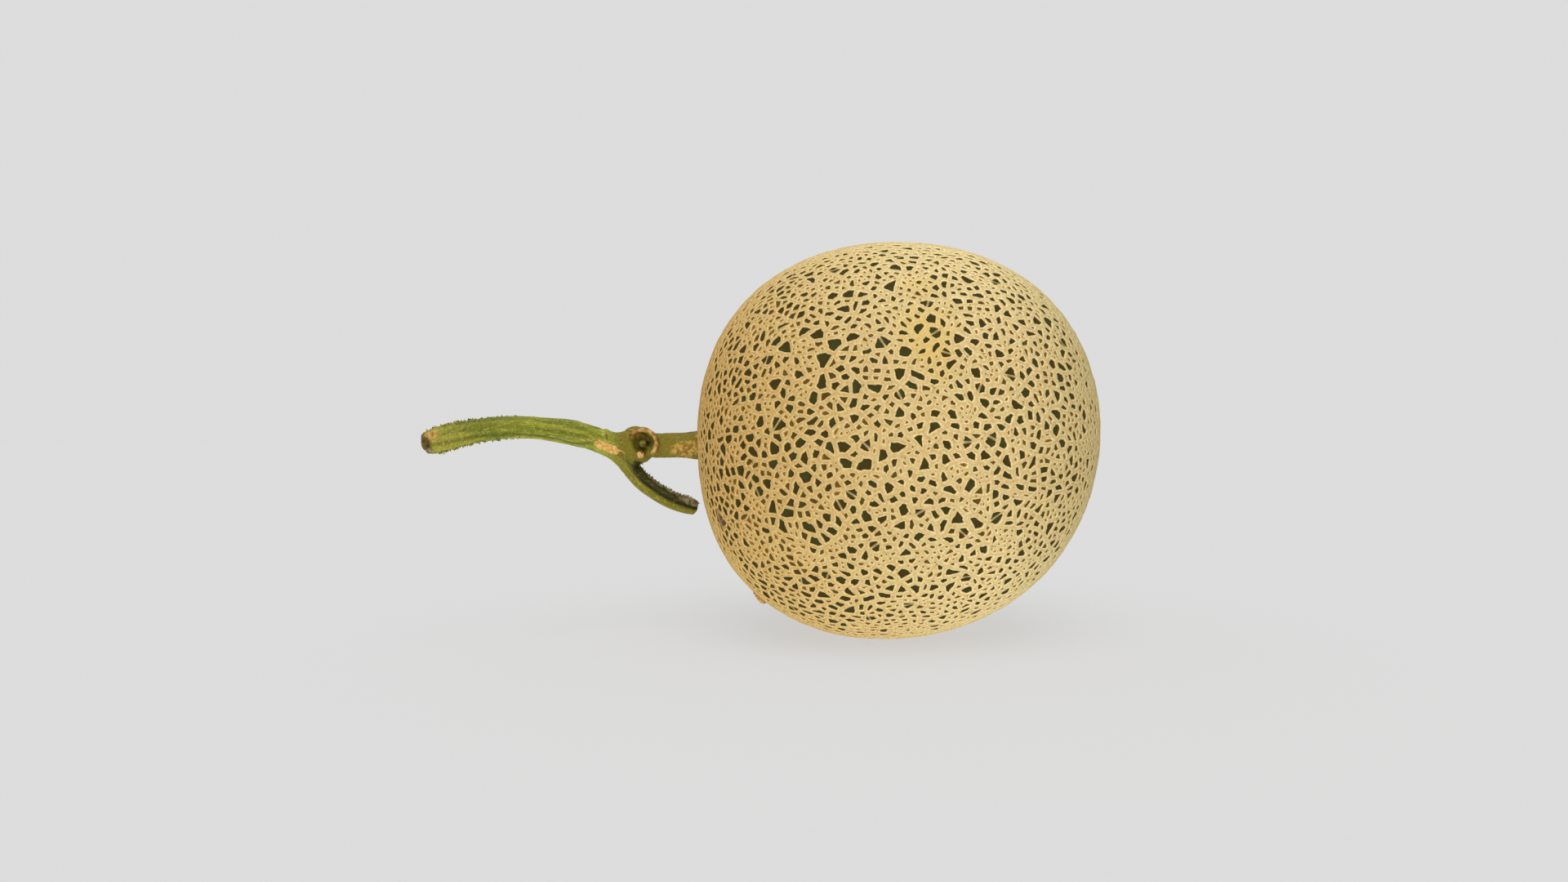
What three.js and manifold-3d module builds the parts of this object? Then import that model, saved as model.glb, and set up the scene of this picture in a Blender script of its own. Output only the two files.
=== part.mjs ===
// A whole netted melon, lying on its side, with the short length of vine that it was cut off the plant with.
// Units are millimetres and +Z is up. The blossom end points along +X and the stalk along -X.
// The origin is on the ground, on the small flat spot that the fruit rests on, below the fruit's middle.

import * as THREE from 'three';
import { mergeVertices } from 'three/addons/utils/BufferGeometryUtils.js';
import Module from 'manifold-3d';

const wasm = await Module();
wasm.setup();

// Fruit. The shape terms are shares of the mean radius, by which the form departs from a sphere.
const FRUIT_RADIUS = 73;
const OVAL = 0.0066; // longer from stalk to blossom end than across
const LEAN = 0.0142; // fuller at the upper blossom side and the lower stalk side
const TAPER = 0.007; // blunter towards the blossom end
const SAG = 0.005; // fuller below than above
const SHOULDER = 0.0125; // square shoulders between the poles and the waist
const FRUIT_DETAIL = 15; // each edge of the icosahedron is cut into one more piece than this

// The fruit is pressed flat round the stalk, with the middle of the flat a little below the stalk.
const STALK_FLAT_DEPTH = 1.1;
const STALK_FLAT_SPREAD = 0.36; // radians
const STALK_FLAT_TILT = THREE.MathUtils.degToRad(6);

// The blossom end has a shallow round dimple.
const BLOSSOM_DEPTH = 0.7;
const BLOSSOM_SPREAD = 0.12; // radians

// The fruit stands on a flat spot, made by cutting this much off its underside.
const REST_CUT = 1.15;

// A curled flake of cork stands off the net, low on the stalk side.
const FLAKE_ANGLE = THREE.MathUtils.degToRad(229); // from +X towards +Z
const FLAKE_LENGTH = 5.4;
const FLAKE_WIDTH = 3.2;
const FLAKE_HEIGHT = 1.5;

// Vine. Its middle line is given from the fruit's middle. It runs from the long arm's cut end, past the
// knuckle, to the short arm's cut end.
const VINE_POINTS = [
  [-156.9, -40.6, -1.1],
  [-147.2, -30.0, 2.2],
  [-136.2, -21.0, 4.1],
  [-124.4, -13.0, 3.8],
  [-111.7, -6.0, 1.3],
  [-100.9, -1.0, -4.8],
  [-91.8, 3.0, -15.6],
  [-82.6, 9.0, -22.4],
  [-73.6, 15.0, -26.0],
];
const LONG_ARM_RADIUS = 4.05;
const SHORT_ARM_RADIUS = 3.2;
const KNUCKLE_SHARE = 0.52; // how far along the vine it passes the knuckle
const FORK_SHARE = 0.51; // how far along the vine the branch to the knuckle starts
const FORK_RADIUS = 4.6;
const FORK_WAIST = 1.3; // how much thinner that branch is at its narrowest
const FORK_WAIST_PLACE = 0.35; // share of the branch's length
const FORK_WAIST_SPREAD = 0.3; // share of the branch's length
const FORK_STEPS = 8;
const ARM_SWELL = 0.9; // how much thicker the vine is beside the knuckle
const ARM_SWELL_SPREAD = 0.09; // share of the vine's length
const CUT_END_FLARE = 0.35; // how much thicker the long arm is near its cut end
const CUT_END_PLACE = 0.07; // share of the vine's length
const CUT_END_ROUNDING = 0.2; // how much of the radius is lost at each cut end
const CUT_END_ROUNDING_SPREAD = 0.018; // share of the vine's length
const VINE_RIBS = 5;
const VINE_RIB_HEIGHT = 0.28;
const VINE_STEPS = 56;
const TUBE_SIDES = 20;

// The cut end of the long arm has dried hollow in its middle.
const PITH_RADIUS = 2.1;
const PITH_DEPTH = 1.3;

// Stalk, from the knuckle to the fruit.
const KNUCKLE_MIDDLE = [-93.6, 0, -2.2];
const KNUCKLE_RADII = [6.8, 6.2, 7.0];
const STALK_HEIGHT = -2.1; // of its fruit end, from the fruit's middle
const STALK_RADIUS = 4.55;
const STALK_FLARE = 0.8; // how much thicker it is where it meets the fruit
const STALK_FLARE_LENGTH = 3.5;
const STALK_STEPS = 14;
const STALK_SINK = 3; // the stalk is drawn this far into the fruit, then trimmed to it
const FIT_GAP = 0.3; // between the stalk and the fruit

// A broken leaf stalk leaves an open rim, standing out of the knuckle towards -Y.
const RIM_MIDDLE = [-90.8, -5.6, -1.5];
const RIM_RADIUS = 5.0;
const RIM_THICKNESS = 1.7;
const RIM_HEIGHT = 4.2; // along Y
const RIM_START = THREE.MathUtils.degToRad(150); // from +X towards +Z
const RIM_END = THREE.MathUtils.degToRad(-50);
const RIM_STEPS = 20;

// Two side shoots were cut back to stubs inside the rim.
const STUBS = [
  { middle: [-90.4, -4.5, -1.3], radius: 1.5, length: 7 },
  { middle: [-91.3, -4.6, -5.3], radius: 1.6, length: 7.4 },
];

const RIND_COLOUR = 0xc4aa72;
const VINE_COLOUR = 0x7f8238;

// Solids

function solidOf(geometry) {
  const bare = geometry.clone();
  bare.deleteAttribute('normal');
  bare.deleteAttribute('uv');
  const merged = mergeVertices(bare, 1e-4);
  const mesh = new wasm.Mesh({
    numProp: 3,
    vertProperties: new Float32Array(merged.attributes.position.array),
    triVerts: new Uint32Array(merged.index.array),
  });
  return new wasm.Manifold(mesh);
}

function geometryOf(solid) {
  const mesh = solid.getMesh();
  const geometry = new THREE.BufferGeometry();
  geometry.setAttribute('position', new THREE.BufferAttribute(mesh.vertProperties, mesh.numProp));
  geometry.setIndex(new THREE.BufferAttribute(mesh.triVerts, 1));
  geometry.computeVertexNormals();
  return geometry;
}

function moveVertices(geometry, move) {
  const positions = geometry.attributes.position;
  const point = new THREE.Vector3();
  for (let i = 0; i < positions.count; i += 1) {
    point.fromBufferAttribute(positions, i);
    move(point);
    positions.setXYZ(i, point.x, point.y, point.z);
  }
  return geometry;
}

function bell(value, spread) {
  return Math.exp(-((value / spread) ** 2));
}

// Fruit

const stalkFlat = new THREE.Vector3(-Math.cos(STALK_FLAT_TILT), 0, -Math.sin(STALK_FLAT_TILT));
const blossomEnd = new THREE.Vector3(1, 0, 0);

// The distance from the fruit's middle to its skin, along a direction of length 1. The powers of x and z are
// cosines and sines of 2, 3 and 4 times the angle from the blossom end.
function skinRadius(direction) {
  const { x, z } = direction;
  const oval = OVAL * (2 * x * x - 1);
  const lean = LEAN * 2 * x * z;
  const taper = TAPER * (4 * x ** 3 - 3 * x);
  const sag = SAG * (4 * x * x - 1) * z;
  const shoulder = -SHOULDER * (8 * x ** 4 - 8 * x * x + 1);
  const stalkSide = STALK_FLAT_DEPTH * bell(direction.angleTo(stalkFlat), STALK_FLAT_SPREAD);
  const blossomSide = BLOSSOM_DEPTH * bell(direction.angleTo(blossomEnd), BLOSSOM_SPREAD);
  return FRUIT_RADIUS * (1 + oval + lean + taper + sag + shoulder) - stalkSide - blossomSide;
}

function fruitSolid(growth) {
  const ball = new THREE.IcosahedronGeometry(1, FRUIT_DETAIL);
  moveVertices(ball, (point) => {
    point.normalize();
    point.multiplyScalar(skinRadius(point) + growth);
  });
  return solidOf(ball);
}

function flakeSolid() {
  const outward = new THREE.Vector3(Math.cos(FLAKE_ANGLE), 0, Math.sin(FLAKE_ANGLE));
  const along = new THREE.Vector3(outward.z, 0, -outward.x);
  const aside = new THREE.Vector3().crossVectors(along, outward);
  const place = outward.clone().multiplyScalar(skinRadius(outward));
  const blob = new THREE.SphereGeometry(1, 14, 8);
  blob.scale(FLAKE_LENGTH / 2, FLAKE_HEIGHT, FLAKE_WIDTH / 2);
  blob.applyMatrix4(new THREE.Matrix4().makeBasis(along, outward, aside).setPosition(place));
  return solidOf(blob);
}

const fruitHeight = skinRadius(new THREE.Vector3(0, 0, -1)) - REST_CUT;

function makeFruit() {
  const below = new THREE.BoxGeometry(4 * FRUIT_RADIUS, 4 * FRUIT_RADIUS, FRUIT_RADIUS);
  below.translate(0, 0, -fruitHeight - FRUIT_RADIUS / 2);
  return fruitSolid(0).add(flakeSolid()).subtract(solidOf(below));
}

// Stalk

// A closed tube along a curve. radiusAt gives its radius by the share of the length and the angle round it.
function sweep(curve, steps, sides, radiusAt) {
  const frames = curve.computeFrenetFrames(steps, false);
  const tube = new THREE.CylinderGeometry(1, 1, 1, sides, steps, false);
  moveVertices(tube, (point) => {
    const share = THREE.MathUtils.clamp(point.y + 0.5, 0, 1);
    const step = Math.round(share * steps);
    const angle = Math.atan2(point.z, point.x);
    const radius = Math.hypot(point.x, point.z) * radiusAt(share, angle);
    const middle = curve.getPointAt(share);
    middle.addScaledVector(frames.normals[step], radius * Math.cos(angle));
    middle.addScaledVector(frames.binormals[step], -radius * Math.sin(angle));
    point.copy(middle);
  });
  return tube;
}

const vinePoints = VINE_POINTS.map((point) => new THREE.Vector3(...point));
const vineCurve = new THREE.CatmullRomCurve3(vinePoints, false, 'centripetal');

function vineRadius(share, angle) {
  const arm = THREE.MathUtils.lerp(
    LONG_ARM_RADIUS,
    SHORT_ARM_RADIUS,
    THREE.MathUtils.smoothstep(share, KNUCKLE_SHARE - ARM_SWELL_SPREAD, KNUCKLE_SHARE + ARM_SWELL_SPREAD),
  );
  const swell = ARM_SWELL * bell(share - KNUCKLE_SHARE, ARM_SWELL_SPREAD);
  const flare = CUT_END_FLARE * bell(share - CUT_END_PLACE, CUT_END_PLACE);
  const ribs = VINE_RIB_HEIGHT * Math.cos(VINE_RIBS * angle);
  const rounding = CUT_END_ROUNDING * bell(Math.min(share, 1 - share), CUT_END_ROUNDING_SPREAD);
  return (arm + swell + flare + ribs) * (1 - rounding);
}

function pithHollow() {
  const start = vineCurve.getPointAt(0);
  const outward = vineCurve.getTangentAt(0).negate();
  const hollow = new THREE.SphereGeometry(1, 16, 10);
  hollow.scale(PITH_RADIUS, PITH_DEPTH, PITH_RADIUS);
  hollow.applyQuaternion(new THREE.Quaternion().setFromUnitVectors(new THREE.Vector3(0, 1, 0), outward));
  hollow.translate(start.x, start.y, start.z);
  return solidOf(hollow);
}

function knuckleSolid() {
  const ball = new THREE.SphereGeometry(1, 24, 16);
  ball.scale(...KNUCKLE_RADII);
  ball.translate(...KNUCKLE_MIDDLE);
  return solidOf(ball);
}

function forkSolid() {
  const line = new THREE.LineCurve3(vineCurve.getPointAt(FORK_SHARE), new THREE.Vector3(...KNUCKLE_MIDDLE));
  const radiusAt = (share) => FORK_RADIUS - FORK_WAIST * bell(share - FORK_WAIST_PLACE, FORK_WAIST_SPREAD);
  return solidOf(sweep(line, FORK_STEPS, TUBE_SIDES, radiusAt));
}

function fruitStalkSolid() {
  const knuckle = new THREE.Vector3(...KNUCKLE_MIDDLE);
  const fruitEnd = new THREE.Vector3(-skinRadius(stalkFlat) + STALK_SINK, 0, STALK_HEIGHT);
  const length = knuckle.distanceTo(fruitEnd);
  const line = new THREE.LineCurve3(knuckle, fruitEnd);
  const radiusAt = (share) => {
    const fromFruit = (1 - share) * length - STALK_SINK;
    return STALK_RADIUS + STALK_FLARE * bell(Math.max(fromFruit, 0), STALK_FLARE_LENGTH);
  };
  return solidOf(sweep(line, STALK_STEPS, TUBE_SIDES, radiusAt));
}

function rimSolid() {
  const points = [];
  for (let i = 0; i <= RIM_STEPS; i += 1) {
    const angle = THREE.MathUtils.lerp(RIM_START, RIM_END, i / RIM_STEPS);
    points.push(new THREE.Vector3(RIM_RADIUS * Math.cos(angle), 0, RIM_RADIUS * Math.sin(angle)));
  }
  const rim = sweep(new THREE.CatmullRomCurve3(points), RIM_STEPS, 10, () => RIM_THICKNESS / 2);
  rim.scale(1, RIM_HEIGHT / RIM_THICKNESS, 1);
  rim.translate(...RIM_MIDDLE);
  return solidOf(rim);
}

function stubSolid({ middle, radius, length }) {
  const stub = new THREE.CylinderGeometry(radius * 0.9, radius, length, 10);
  stub.rotateX(Math.PI);
  stub.translate(...middle);
  return solidOf(stub);
}

function makeStalk() {
  let stalk = solidOf(sweep(vineCurve, VINE_STEPS, TUBE_SIDES, vineRadius));
  stalk = stalk.add(knuckleSolid()).add(forkSolid()).add(fruitStalkSolid()).add(rimSolid());
  for (const stub of STUBS) {
    stalk = stalk.add(stubSolid(stub));
  }
  return stalk.subtract(pithHollow()).subtract(fruitSolid(FIT_GAP));
}

// The melon

function addPiece(group, name, solid, colour, roughness) {
  const material = new THREE.MeshStandardMaterial({ color: colour, roughness, metalness: 0 });
  const mesh = new THREE.Mesh(geometryOf(solid), material);
  mesh.name = name;
  group.add(mesh);
}

const melon = new THREE.Group();
melon.name = 'melon';
melon.position.z = fruitHeight;
addPiece(melon, 'fruit', makeFruit(), RIND_COLOUR, 0.75);
addPiece(melon, 'stalk', makeStalk(), VINE_COLOUR, 0.7);

export default melon;
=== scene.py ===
# A whole netted melon lying on its side, with a forked piece of vine on its stalk, seen from its side.

import math
import random

import bmesh
import bpy
import numpy as np
from mathutils import Matrix, Vector, bvhtree, kdtree, noise


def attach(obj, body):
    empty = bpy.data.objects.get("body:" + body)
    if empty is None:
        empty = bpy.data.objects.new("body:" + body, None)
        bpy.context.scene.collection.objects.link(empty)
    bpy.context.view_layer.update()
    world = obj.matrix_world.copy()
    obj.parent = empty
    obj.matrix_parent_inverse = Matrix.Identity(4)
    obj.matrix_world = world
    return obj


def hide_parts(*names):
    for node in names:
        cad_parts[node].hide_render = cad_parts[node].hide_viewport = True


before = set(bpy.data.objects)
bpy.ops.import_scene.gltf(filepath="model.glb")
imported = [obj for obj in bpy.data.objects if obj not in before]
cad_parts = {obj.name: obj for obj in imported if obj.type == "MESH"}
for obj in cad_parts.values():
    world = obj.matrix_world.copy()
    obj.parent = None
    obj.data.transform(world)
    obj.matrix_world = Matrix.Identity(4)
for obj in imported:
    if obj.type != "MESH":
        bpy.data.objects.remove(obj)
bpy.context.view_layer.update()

bpy.context.view_layer.update()
MM = 0.001


# Camera. It looks level at the melon's side, from a little nearer the stalk, as the picture was taken.
CAMERA_BACK = 391.4 * MM
CAMERA_SIDE = -39.6 * MM
CAMERA_HEIGHT = 70.25 * MM
VIEW_ANGLE = math.radians(45)
SENSOR_HEIGHT = 24
NEAREST_SEEN = 10 * MM
bpy.ops.object.select_all(action="DESELECT")
camera_place = (CAMERA_SIDE, -CAMERA_BACK, CAMERA_HEIGHT)
bpy.ops.object.camera_add(location=camera_place, rotation=(math.pi / 2, 0, 0))
camera = bpy.context.object
camera.name = "camera"
camera.data.sensor_fit = "VERTICAL"
camera.data.sensor_height = SENSOR_HEIGHT
camera.data.angle_y = VIEW_ANGLE
camera.data.clip_start = NEAREST_SEEN
bpy.context.scene.camera = camera


# Studio light. An even pale surround, and wide soft lights from the front, from high up and from low
# down. They reach the whole floor alike, so that it looks as pale as the surround behind it.
SURROUND_LIGHT = 0.72
FRONT_LIGHT = 0.4
FRONT_ANGLES = (math.radians(86), 0, math.radians(-6))
HIGH_LIGHT = 1.35
HIGH_ANGLES = (math.radians(32), 0, math.radians(2))
LOW_LIGHT = 1.4
LOW_ANGLES = (math.radians(146), 0, math.radians(2))
LIGHT_SOFTNESS = math.radians(50)
LAMP_PLACE = (0, 0, 2)
bpy.context.scene.view_settings.view_transform = "Standard"
surround = bpy.data.worlds.new("pale_surround")
surround.use_nodes = True
surround.node_tree.nodes["Background"].inputs["Color"].default_value = (SURROUND_LIGHT,) * 3 + (1,)
bpy.context.scene.world = surround
lamps = (
    ("front_light", FRONT_LIGHT, FRONT_ANGLES),
    ("high_light", HIGH_LIGHT, HIGH_ANGLES),
    ("low_light", LOW_LIGHT, LOW_ANGLES),
)
for name, strength, angles in lamps:
    bpy.ops.object.light_add(type="SUN", location=LAMP_PLACE, rotation=angles)
    lamp = bpy.context.object
    lamp.name = name
    lamp.data.energy = strength
    lamp.data.angle = LIGHT_SOFTNESS


# Studio floor. A plain pale sheet, far wider than the view, that the melon lies on. It glows a little, so
# the melon's shadow on it is faint, and it throws no shadow, so the low light comes through it.
FLOOR_SIZE = 60
FLOOR_GLOW = 0.74
# The surround, the front lamp and the high lamp light its upper side.
floor_light = SURROUND_LIGHT
for _, strength, angles in lamps[:2]:
    floor_light += strength * math.cos(angles[0]) * math.cos(angles[1]) / math.pi
FLOOR_GREY = SURROUND_LIGHT / floor_light * (1 - FLOOR_GLOW)
bpy.ops.mesh.primitive_plane_add(size=FLOOR_SIZE, location=(0, 0, 0))
floor = bpy.context.object
floor.name = "studio_floor"
floor_paint = bpy.data.materials.new("pale_floor")
floor_paint.use_nodes = True
floor_shader = floor_paint.node_tree.nodes["Principled BSDF"]
floor_shader.inputs["Base Color"].default_value = (FLOOR_GREY, FLOOR_GREY, FLOOR_GREY, 1)
floor_shader.inputs["Roughness"].default_value = 1.0
floor_shader.inputs["Specular IOR Level"].default_value = 0.0
floor_shader.inputs["Emission Color"].default_value = (1, 1, 1, 1)
floor_shader.inputs["Emission Strength"].default_value = SURROUND_LIGHT * FLOOR_GLOW
floor.data.materials.append(floor_paint)
floor.visible_shadow = False


# Rind. The dark green skin of the fruit split as it grew, and pale cork healed the cracks into a raised net.
# Later cracks cut the first wide cells across, so the net is one sheet of cork with dark pits, some with a
# thin low bar across them. The blossom end is a small round scar of cork with no pits.
FRUIT_MIDDLE = Vector((0, 0, 70.82 * MM))
FRUIT_RADIUS = 72.5 * MM
# The cells of the net, and the cracks between them.
MAIN_CELLS = 3
CELL_JITTER = 0.36
CELL_AREA = 26.5 * MM ** 2
SMALLEST_CELL = 5.2 * MM ** 2
LARGEST_CELL = 31 * MM ** 2
FAMILY_AREA = 50 * MM ** 2
FAMILY_SPREAD = 0.46
CELL_AREA_SPREAD = 0.12
STRETCH_WEIGHT = 0.7
CELL_AREA_PATCHES = 0.3
END_FINENESS = 0.42
PATCH_SCALE = 2.2
CRACK_SLANT = 0.28
CRACK_WANDER = 0.18
CRACK_TRIES = 4
RELAX_ROUNDS = 2
RELAX_SHARE = 0.3
SMALLEST_STRETCH = 0.5 * MM
# The half widths of the net's ridges. The net keeps them a little rounded, so a bar is told from the other
# ridges by a limit just above its own half width.
WIDTH_SHARE = 0.128
WIDEST_HALF = 1.04 * MM
BAR_HALF_WIDTH = 0.22 * MM
WIDEST_BAR = 1.01 * BAR_HALF_WIDTH
STALK_SIDE_THINNING = 0.48
BLOSSOM_SIDE_THINNING = 0.18
WIDTH_SPREAD = 0.2
WIDEST_SHARE = 0.58
# The heights of the ridges, above or below the form of the solid.
LOW_CREST = -0.10 * MM
CREST_RISE = 0.26
RIM_HEIGHT = -0.18 * MM
BAR_CREST = -0.24 * MM
BAR_RIM = -0.34 * MM
CREST_SWAY = 0.12 * MM
CREST_SWAY_SCALE = 9
NARROW_CREST = 0.86
RIM = 0.5
# The pits, and which of them get a wall or a bar.
SIDE_BULGE = 0.06 * MM
BOWED_SIDE = 1.85 * MM
CORNER_REACH = 0.84
WALL_WIDTH = 0.30 * MM
WALL_FOOT_REACH = 0.93
SHALLOW_PIT = 0.25 * MM
PIT_DEEPENING = 0.4
PIT_DEPTH = 0.5 * MM
SMALL_PIT = 1.08 * MM
BAR_ROOM = 0.98 * MM
BAR_SHARE = 0.36
BAR_PIT_ROOM = 1.7
BLOSSOM_SCAR = 3.4 * MM
BLOSSOM_SCAR_DEPTH = 0.15 * MM
LUCK_START = 7

luck = random.Random(LUCK_START)
fruit_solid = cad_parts["fruit"]
fruit_form = bvhtree.BVHTree.FromObject(fruit_solid, bpy.context.evaluated_depsgraph_get())
blossom_end = Vector((1, 0, 0))


def skin_distance(direction):
    """How far the fruit's skin is from the fruit's middle, in a direction of length 1."""
    _, _, _, distance = fruit_form.ray_cast(FRUIT_MIDDLE, direction)
    return distance


def main_cells():
    """The first, wide cells of the net, on a ball of radius 1, each round one of many points on it."""
    bpy.ops.object.select_all(action="DESELECT")
    bpy.ops.mesh.primitive_ico_sphere_add(subdivisions=MAIN_CELLS, radius=1)
    strewn = bpy.context.object
    spacing = math.sqrt(4 * math.pi / len(strewn.data.vertices))
    for vertex in strewn.data.vertices:
        push = Vector([luck.gauss(0, 1) for _ in range(3)]) * CELL_JITTER * spacing
        vertex.co = (vertex.co + push).normalized()
    bpy.ops.object.mode_set(mode="EDIT")
    bpy.ops.mesh.select_all(action="SELECT")
    bpy.ops.mesh.delete(type="EDGE_FACE")
    bpy.ops.mesh.select_all(action="SELECT")
    bpy.ops.mesh.convex_hull(join_triangles=False)
    bpy.ops.mesh.normals_make_consistent(inside=False)
    bpy.ops.object.mode_set(mode="OBJECT")
    hull = bmesh.new()
    hull.from_mesh(strewn.data)
    bpy.data.objects.remove(strewn)
    cells = bmesh.new()
    corners = {face: cells.verts.new(face.calc_center_median().normalized()) for face in hull.faces}
    for vertex in hull.verts:
        ring = []
        loop = vertex.link_loops[0]
        for _ in vertex.link_loops:
            ring.append(corners[loop.face])
            loop = loop.link_loop_prev.link_loop_radial_next
        cells.faces.new(ring)
    hull.free()
    cells.normal_update()
    for face in cells.faces:
        if face.normal.dot(face.calc_center_median()) < 0:
            face.normal_flip()
    return cells


def long_way(face, centre):
    """The direction in which a cell is longest, and how many times longer it is than wide."""
    reach = np.array([corner.co - centre for corner in face.verts])
    spreads, ways = np.linalg.eigh(reach.T @ reach)
    return Vector(ways[:, 2]), math.sqrt(spreads[2] / spreads[1])


def edge_gap(loop, centre):
    """How far the middle of a cell is from one of its edges."""
    way = (loop.link_loop_next.vert.co - loop.vert.co).normalized()
    inward = centre - loop.vert.co
    return (inward - way * inward.dot(way)).length * FRUIT_RADIUS


def crack_across(face, half_width, width):
    """Cuts a cell in two by a crack across its longest way. Gives the new cell, or None without room."""
    centre = face.calc_center_median()
    along, _ = long_way(face, centre)
    reach = max(abs((corner.co - centre).dot(along)) for corner in face.verts)
    along.rotate(Matrix.Rotation(luck.gauss(0, CRACK_SLANT), 3, centre.normalized()))
    middle = centre + along * luck.uniform(-CRACK_WANDER, CRACK_WANDER) * reach
    loops = list(face.loops)
    side = [(loop.vert.co - middle).dot(along) for loop in loops]
    ends = []
    for index, loop in enumerate(loops):
        before, after = side[index], side[(index + 1) % len(loops)]
        if (before < 0) != (after < 0):
            ends.append((loop.edge, loop.vert, before / (before - after)))
    if len(ends) != 2:
        return None
    corners = []
    for edge, vertex, share in ends:
        length = edge.calc_length() * FRUIT_RADIUS
        if length * share < SMALLEST_STRETCH:
            corners.append(vertex)
        elif length * (1 - share) < SMALLEST_STRETCH:
            corners.append(edge.other_vert(vertex))
        else:
            old_width = edge[half_width]
            new_edge, new_vertex = bmesh.utils.edge_split(edge, vertex, share)
            edge[half_width] = old_width
            new_edge[half_width] = old_width
            corners.append(new_vertex)
    first, last = corners
    if first == last or any(edge.other_vert(first) == last for edge in first.link_edges):
        return None
    new_face, new_loop = bmesh.utils.face_split(face, first, last)
    new_loop.edge[half_width] = width
    return new_face


def area_limit(face):
    """The area above which the cells of a family are cut again. It goes up and down over the fruit, and is
    smaller towards its two ends."""
    centre = face.calc_center_median()
    patch = noise.noise(centre * PATCH_SCALE)
    limit = CELL_AREA * math.exp(luck.gauss(0, FAMILY_SPREAD) + CELL_AREA_PATCHES * patch)
    return min(max(limit, 2 * SMALLEST_CELL), LARGEST_CELL) * (1 - END_FINENESS * centre.x ** 2)


def cracked_cells():
    """All cells of the net: the main ones, cut again and again. The later a crack, the narrower it is."""
    cells = main_cells()
    half_width = cells.edges.layers.float.new("half_width")
    for edge in cells.edges:
        edge[half_width] = WIDEST_HALF
    waiting = [(face, area_limit(face)) for face in cells.faces]
    finished = []
    while waiting:
        face, limit = waiting.pop()
        new_face = None
        area = face.calc_area() * FRUIT_RADIUS ** 2
        _, stretch = long_way(face, face.calc_center_median())
        if area * stretch ** STRETCH_WEIGHT > limit * math.exp(luck.gauss(0, CELL_AREA_SPREAD)):
            for _ in range(CRACK_TRIES):
                new_face = crack_across(face, half_width, min(WIDTH_SHARE * math.sqrt(area), WIDEST_HALF))
                if new_face:
                    break
        if new_face:
            for part in (face, new_face):
                waiting.append((part, area_limit(part) if area > FAMILY_AREA else limit))
        else:
            finished.append(face)
    for vertex in cells.verts:
        vertex.co.normalize()
    for _ in range(RELAX_ROUNDS):
        pulled = []
        for vertex in cells.verts:
            neighbours = [edge.other_vert(vertex).co for edge in vertex.link_edges]
            mean = sum(neighbours, Vector()) / len(neighbours)
            pulled.append(vertex.co.lerp(mean, RELAX_SHARE).normalized())
        for vertex, place in zip(cells.verts, pulled):
            vertex.co = place
    for face in finished:
        centre = face.calc_center_median()
        room = min(edge_gap(loop, centre) - loop.edge[half_width] for loop in face.loops)
        if room > BAR_ROOM and luck.random() < BAR_SHARE:
            crack_across(face, half_width, BAR_HALF_WIDTH)
    for edge in list(cells.edges):
        if edge[half_width] < WIDEST_BAR:
            bmesh.utils.edge_split(edge, edge.verts[0], 0.5)
    for vertex in cells.verts:
        vertex.co.normalize()
    return cells, half_width


class Rind:
    """The rind's surface as it is laid down point by point on the fruit's form."""

    def __init__(self):
        self.points = []
        self.faces = []
        self.net = []
        self.width = []
        self.bar = []

    def lay(self, direction, height, net, width, bar=0.0):
        """A point of the rind. Net runs from 0 on a pit's floor to 1 on a crest, width is the pit's width,
        and bar is 1 on a bar."""
        direction = direction.normalized()
        place = FRUIT_MIDDLE + direction * (skin_distance(direction) + height)
        place.z = max(place.z, 0)
        self.points.append(place)
        self.net.append(net)
        self.width.append(width)
        self.bar.append(bar)
        return len(self.points) - 1

    def fan(self, path, hub=None):
        """The faces between a path of points and a hub, or without a hub, one face through the path."""
        if hub is None:
            self.faces.append(tuple(path))
        else:
            self.faces += [(hub, *pair) for pair in zip(path, path[1:])]

    def mesh(self):
        """The mesh of all that was laid, with its values kept at its points."""
        mesh = bpy.data.meshes.new("rind")
        mesh.from_pydata(self.points, [], self.faces)
        for name, values in (("net", self.net), ("pit_width", self.width), ("bar", self.bar)):
            mesh.attributes.new(name, "FLOAT", "POINT").data.foreach_set("value", values)
        mesh.shade_smooth()
        return mesh


def lay_crests(rind, cells, half_width, bars):
    """Lays the net's crests, a point at each corner of the cells. Gives the points by their corners."""
    crest = {}
    for vertex in cells.verts:
        on_bar = bars.issuperset(vertex.link_edges)
        widest = max(edge[half_width] for edge in vertex.link_edges)
        height = BAR_CREST if on_bar else LOW_CREST + CREST_RISE * widest
        height += noise.noise(vertex.co * CREST_SWAY_SCALE) * CREST_SWAY
        net = min(NARROW_CREST + (1 - NARROW_CREST) * widest / WIDEST_HALF, 1.0)
        crest[vertex] = rind.lay(vertex.co, height, net, 0, on_bar)
    return crest


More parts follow.
